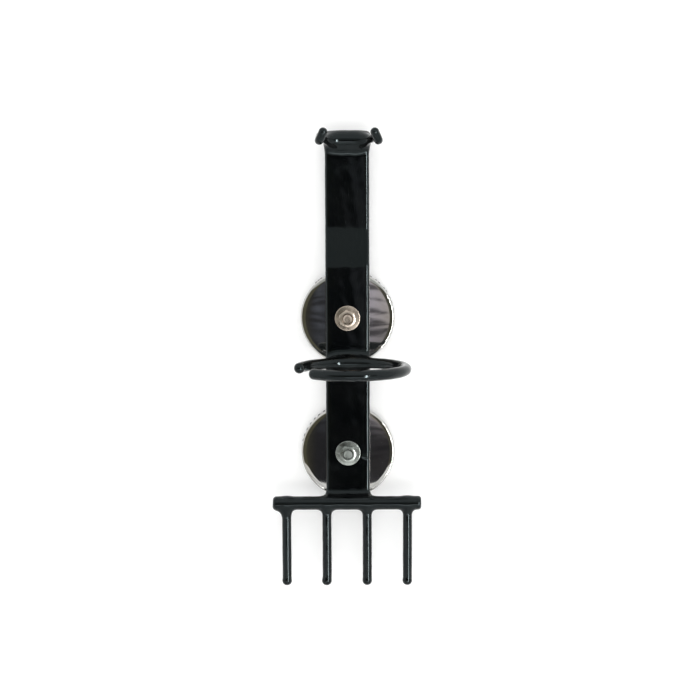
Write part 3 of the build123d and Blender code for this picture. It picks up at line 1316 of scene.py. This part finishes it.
    def bolt(self) -> None:
        """Hexagon-head bolt with a rolled thread and a dished, chamfered end."""
        back, front, _, _ = self.span("bolt")
        _, _, _, axis = self.span("nut")
        seat = back - self.head_height
        core = self.thread_core
        crest = self.thread_crest
        bm = bmesh.new()
        rear, face = self.hex_loops(bm, (back, seat), self.hex_size * 0.47, (True, False))
        centre = round_loop(bm, len(rear), 1.5, back)
        bridged(bm, [rear, centre])
        bmesh.ops.contextual_create(bm, geom=centre)
        shank = 3.0
        point = 0.6
        neck = [
            (crest, seat),
            (crest, seat - shank),
            (core, seat - shank - 0.3),
            (core, front + point),
            (core - point, front),
        ]
        loops = [round_loop(bm, len(face), radius, depth) for radius, depth in neck]
        bridged(bm, [face, *loops])
        bmesh.ops.contextual_create(bm, geom=loops[-1])
        self.thread(bm, seat - shank, front + 0.5)
        bmesh.ops.translate(bm, verts=bm.verts, vec=(0, 0, axis))
        piece = finished(bm, self.node("hex_bolt"), Edges.MACHINED)
        dress(piece, self.zinc, "zinc_plate", self.node("bolt"))

    def thread(self, bm: bmesh.types.BMesh, start: float, end: float) -> None:
        """Adds a helical thread ridge between two depths.

        Args:
            bm: The mesh that it is added to.
            start: Depth of its first turn.
            end: Depth of its last turn.
        """
        core = self.thread_core
        crest = self.thread_crest
        pitch = self.thread_pitch
        turns = (start - end - 0.6 * pitch) / pitch
        steps_per_turn = 36
        flank = 0.42 * pitch
        tip = 0.08 * pitch
        depth = start - flank
        outline = [(core - 0.1, flank), (crest, tip), (crest, -tip), (core - 0.1, -flank)]
        verts = [bm.verts.new((radius, depth + shift, 0.0)) for radius, shift in outline]
        ridge = bm.faces.new(verts)
        steps = int(turns * steps_per_turn)
        bmesh.ops.spin(
            bm,
            geom=[ridge],
            cent=(0, 0, 0),
            axis=(0, 1, 0),
            dvec=(0, -pitch / steps_per_turn, 0),
            angle=math.tau * turns,
            steps=steps,
        )


# ---------------------------------------------------------------------------- hidden steel


@dataclass
class WeldedFrame:
    """The steel frame's CAD nodes, which keep their shape and get their own finish."""

    steel: bpy.types.Material
    weld: bpy.types.Material
    epoxy: bpy.types.Material

    def dress(self, nodes: dict[str, bpy.types.Object]) -> None:
        """Puts the right finish on each kept node.

        Args:
            nodes: The frame's CAD objects by name.
        """
        for name, node in nodes.items():
            if name.endswith(("_weld", "_welds")):
                finish = self.weld
            elif name.startswith("adhesive_bed"):
                finish = self.epoxy
            elif name.startswith(("backbone", "cradle", "ring_rod", "fork")):
                finish = self.steel
            else:
                continue
            node.data.materials.clear()
            node.data.materials.append(finish)
            LOG.info("%s keeps its shape, in %s", name, finish.name)


# ---------------------------------------------------------------------------- studio


@dataclass
class Studio:
    """Pale wall and floor, soft lights, two glowing screens in front and the camera, in metres and watts.
    """

    wall_gap: float = 0.0004
    wall_glow: float = 0.12
    floor_height: float = -1.0
    screen_distance: float = 2.6
    screen_width: float = 5.2
    screen_edges: tuple[float, float, float] = (-0.70, 0.25, 1.25)
    air: float = 1.2
    key_power: float = 11.0
    glint_power: float = 26.0
    low_power: float = 3.5
    lens: float = 82.29
    camera_place: Point = (0.00215, -1.142, 0.1512)
    camera_tilt: float = 6.348
    camera_roll: float = 0.22

    def build(self) -> None:
        """Makes the whole studio."""
        self.world()
        self.backdrop()
        self.screens()
        self.lights()
        self.camera()
        bpy.context.scene.view_settings.view_transform = "Standard"

    def world(self) -> None:
        """Even pale surroundings."""
        world = bpy.data.worlds.new("studio_air")
        world.use_nodes = True
        background = world.node_tree.nodes["Background"]
        background.inputs["Color"].default_value = (*WHITE, 1.0)
        background.inputs["Strength"].default_value = self.air
        bpy.context.scene.world = world

    def sheet(
        self, name: str, size: tuple[float, float], place: Matrix, finish: bpy.types.Material
    ) -> None:
        """Adds a flat stage sheet.

        Args:
            name: Its name.
            size: Width and height.
            place: Where it stands and how it is turned.
            finish: Its material.
        """
        bm = bmesh.new()
        bmesh.ops.create_grid(bm, x_segments=1, y_segments=1, size=0.5)
        bmesh.ops.scale(bm, vec=(*size, 1.0), verts=bm.verts)
        bmesh.ops.transform(bm, matrix=place, verts=bm.verts)
        mesh = bpy.data.meshes.new(name)
        bm.to_mesh(mesh)
        bm.free()
        mesh.materials.append(finish)
        stage = bpy.data.objects.new(name, mesh)
        bpy.context.scene.collection.objects.link(stage)

    def backdrop(self) -> None:
        """White wall behind the magnets, clear from its back, and a pale floor well below."""
        upright = Matrix.Rotation(math.radians(90), 4, "X")
        wall = StudioPaper("wall_paper", (0.93, 0.93, 0.93), self.wall_glow, clear_back=True)
        place = Matrix.Translation((0, self.wall_gap, 0.2)) @ upright
        self.sheet("studio_wall", (6.0, 5.0), place, wall.build())
        floor = StudioPaper("floor_paper", (0.88, 0.88, 0.88))
        place = Matrix.Translation((0, 0, self.floor_height))
        self.sheet("studio_floor", (6.0, 6.0), place, floor.build())

    def screens(self) -> None:
        """Dark glowing screen in front that the faces mirror, and a dim grey glowing one above it."""
        upright = Matrix.Rotation(math.radians(90), 4, "X")
        low, middle, high = self.screen_edges
        for name, bottom, top, glow_sheet in (
            ("studio_screen", low, middle, ScreenGlow()),
            ("studio_upper_screen", middle, high, UpperScreenGlow()),
        ):
            place = Matrix.Translation((0, -self.screen_distance, (bottom + top) / 2)) @ upright
            self.sheet(name, (self.screen_width, top - bottom), place, glow_sheet.build())

    def area(
        self, name: str, place: Point, size: tuple[float, float], power: float, casts_shadow: bool
    ) -> bpy.types.Object:
        """Adds a soft area light that looks at the middle of the holder.

        Args:
            name: Its name.
            place: Where it hangs, in metres.
            size: Width and height.
            power: Power in watts.
            casts_shadow: Whether it throws a shadow.

        Returns:
            The light's object.
        """
        lamp = bpy.data.lights.new(name, "AREA")
        lamp.use_shadow = casts_shadow
        lamp.shape = "RECTANGLE"
        lamp.size, lamp.size_y = size
        lamp.energy = power
        stand = bpy.data.objects.new(name, lamp)
        stand.location = place
        aim = Vector((0, 0, 0.02)) - Vector(place)
        stand.rotation_mode = "QUATERNION"
        stand.rotation_quaternion = aim.to_track_quat("-Z", "Y")
        bpy.context.scene.collection.objects.link(stand)
        return stand

    def lights(self) -> None:
        """Strips at the right for the upright highlights, and a soft box from below.

        The key strip throws no shadow and the glint strip only shows in reflections, so that the
        wall keeps just the soft shade of the surroundings.
        """
        self.area("key_strip", (1.0, -1.75, -0.3), (0.13, 1.5), self.key_power, casts_shadow=False)
        spot = (0.95, -1.7, -0.3)
        glint = self.area("glint_strip", spot, (0.16, 1.5), self.glint_power, casts_shadow=False)
        glint.visible_diffuse = False
        self.area("low_box", (0.15, -1.85, -0.93), (1.3, 0.18), self.low_power, casts_shadow=True)

    def camera(self) -> None:
        """Camera a little above the holder, tilted down."""
        lens = bpy.data.cameras.new("camera")
        lens.lens = self.lens
        lens.sensor_width = 36.0
        lens.clip_start = 0.05
        stand = bpy.data.objects.new("camera", lens)
        stand.location = self.camera_place
        tilt = math.radians(90.0 - self.camera_tilt)
        stand.rotation_euler = (tilt, math.radians(self.camera_roll), 0.0)
        bpy.context.scene.collection.objects.link(stand)
        bpy.context.scene.camera = stand


# ---------------------------------------------------------------------------- assembly


def main() -> None:
    """Builds the holder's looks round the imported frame."""
    logging.basicConfig(level=logging.INFO, format="%(name)s: %(message)s")
    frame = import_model()
    vinyl = BlackVinyl().build()
    chrome = CupChrome().build()
    warm_zinc = ZincPlate().build()
    # the lower mount's fasteners take a darker, greener copy of the zinc than the upper ones
    cool_zinc = ZincPlate("zinc_plate_cool", (0.30, 0.325, 0.305), (0.20, 0.215, 0.20)).build()
    ferrite = Ferrite().build()
    steel = BareSteel("rolled_steel", (0.34, 0.35, 0.37), (0.16, 0.16, 0.18), 120.0).build()
    weld = BareSteel("weld_metal", (0.40, 0.37, 0.33), (0.14, 0.13, 0.13), 420.0).build()
    epoxy = Adhesive().build()
    WeldedFrame(steel, weld, epoxy).dress(frame["nodes"])
    VinylSkin(vinyl).build()
    upper_marks = (-8.0, -2.0, 9.0, 18.0, 24.0, 33.0, 38.0, 47.0, 52.0, 60.0, 64.0, 124.0, 128.0, 132.0)
    lower_marks = (113.0, 121.0, 129.0, 136.0, 144.0, 152.0, 160.0, 167.0)
    MagnetMount(Place.UPPER, chrome, ferrite, warm_zinc, turn=0.35, mark_angles=upper_marks).build()
    MagnetMount(Place.LOWER, chrome, ferrite, cool_zinc, turn=0.08, mark_angles=lower_marks).build()
    Studio().build()


if __name__ == "__main__":
    main()
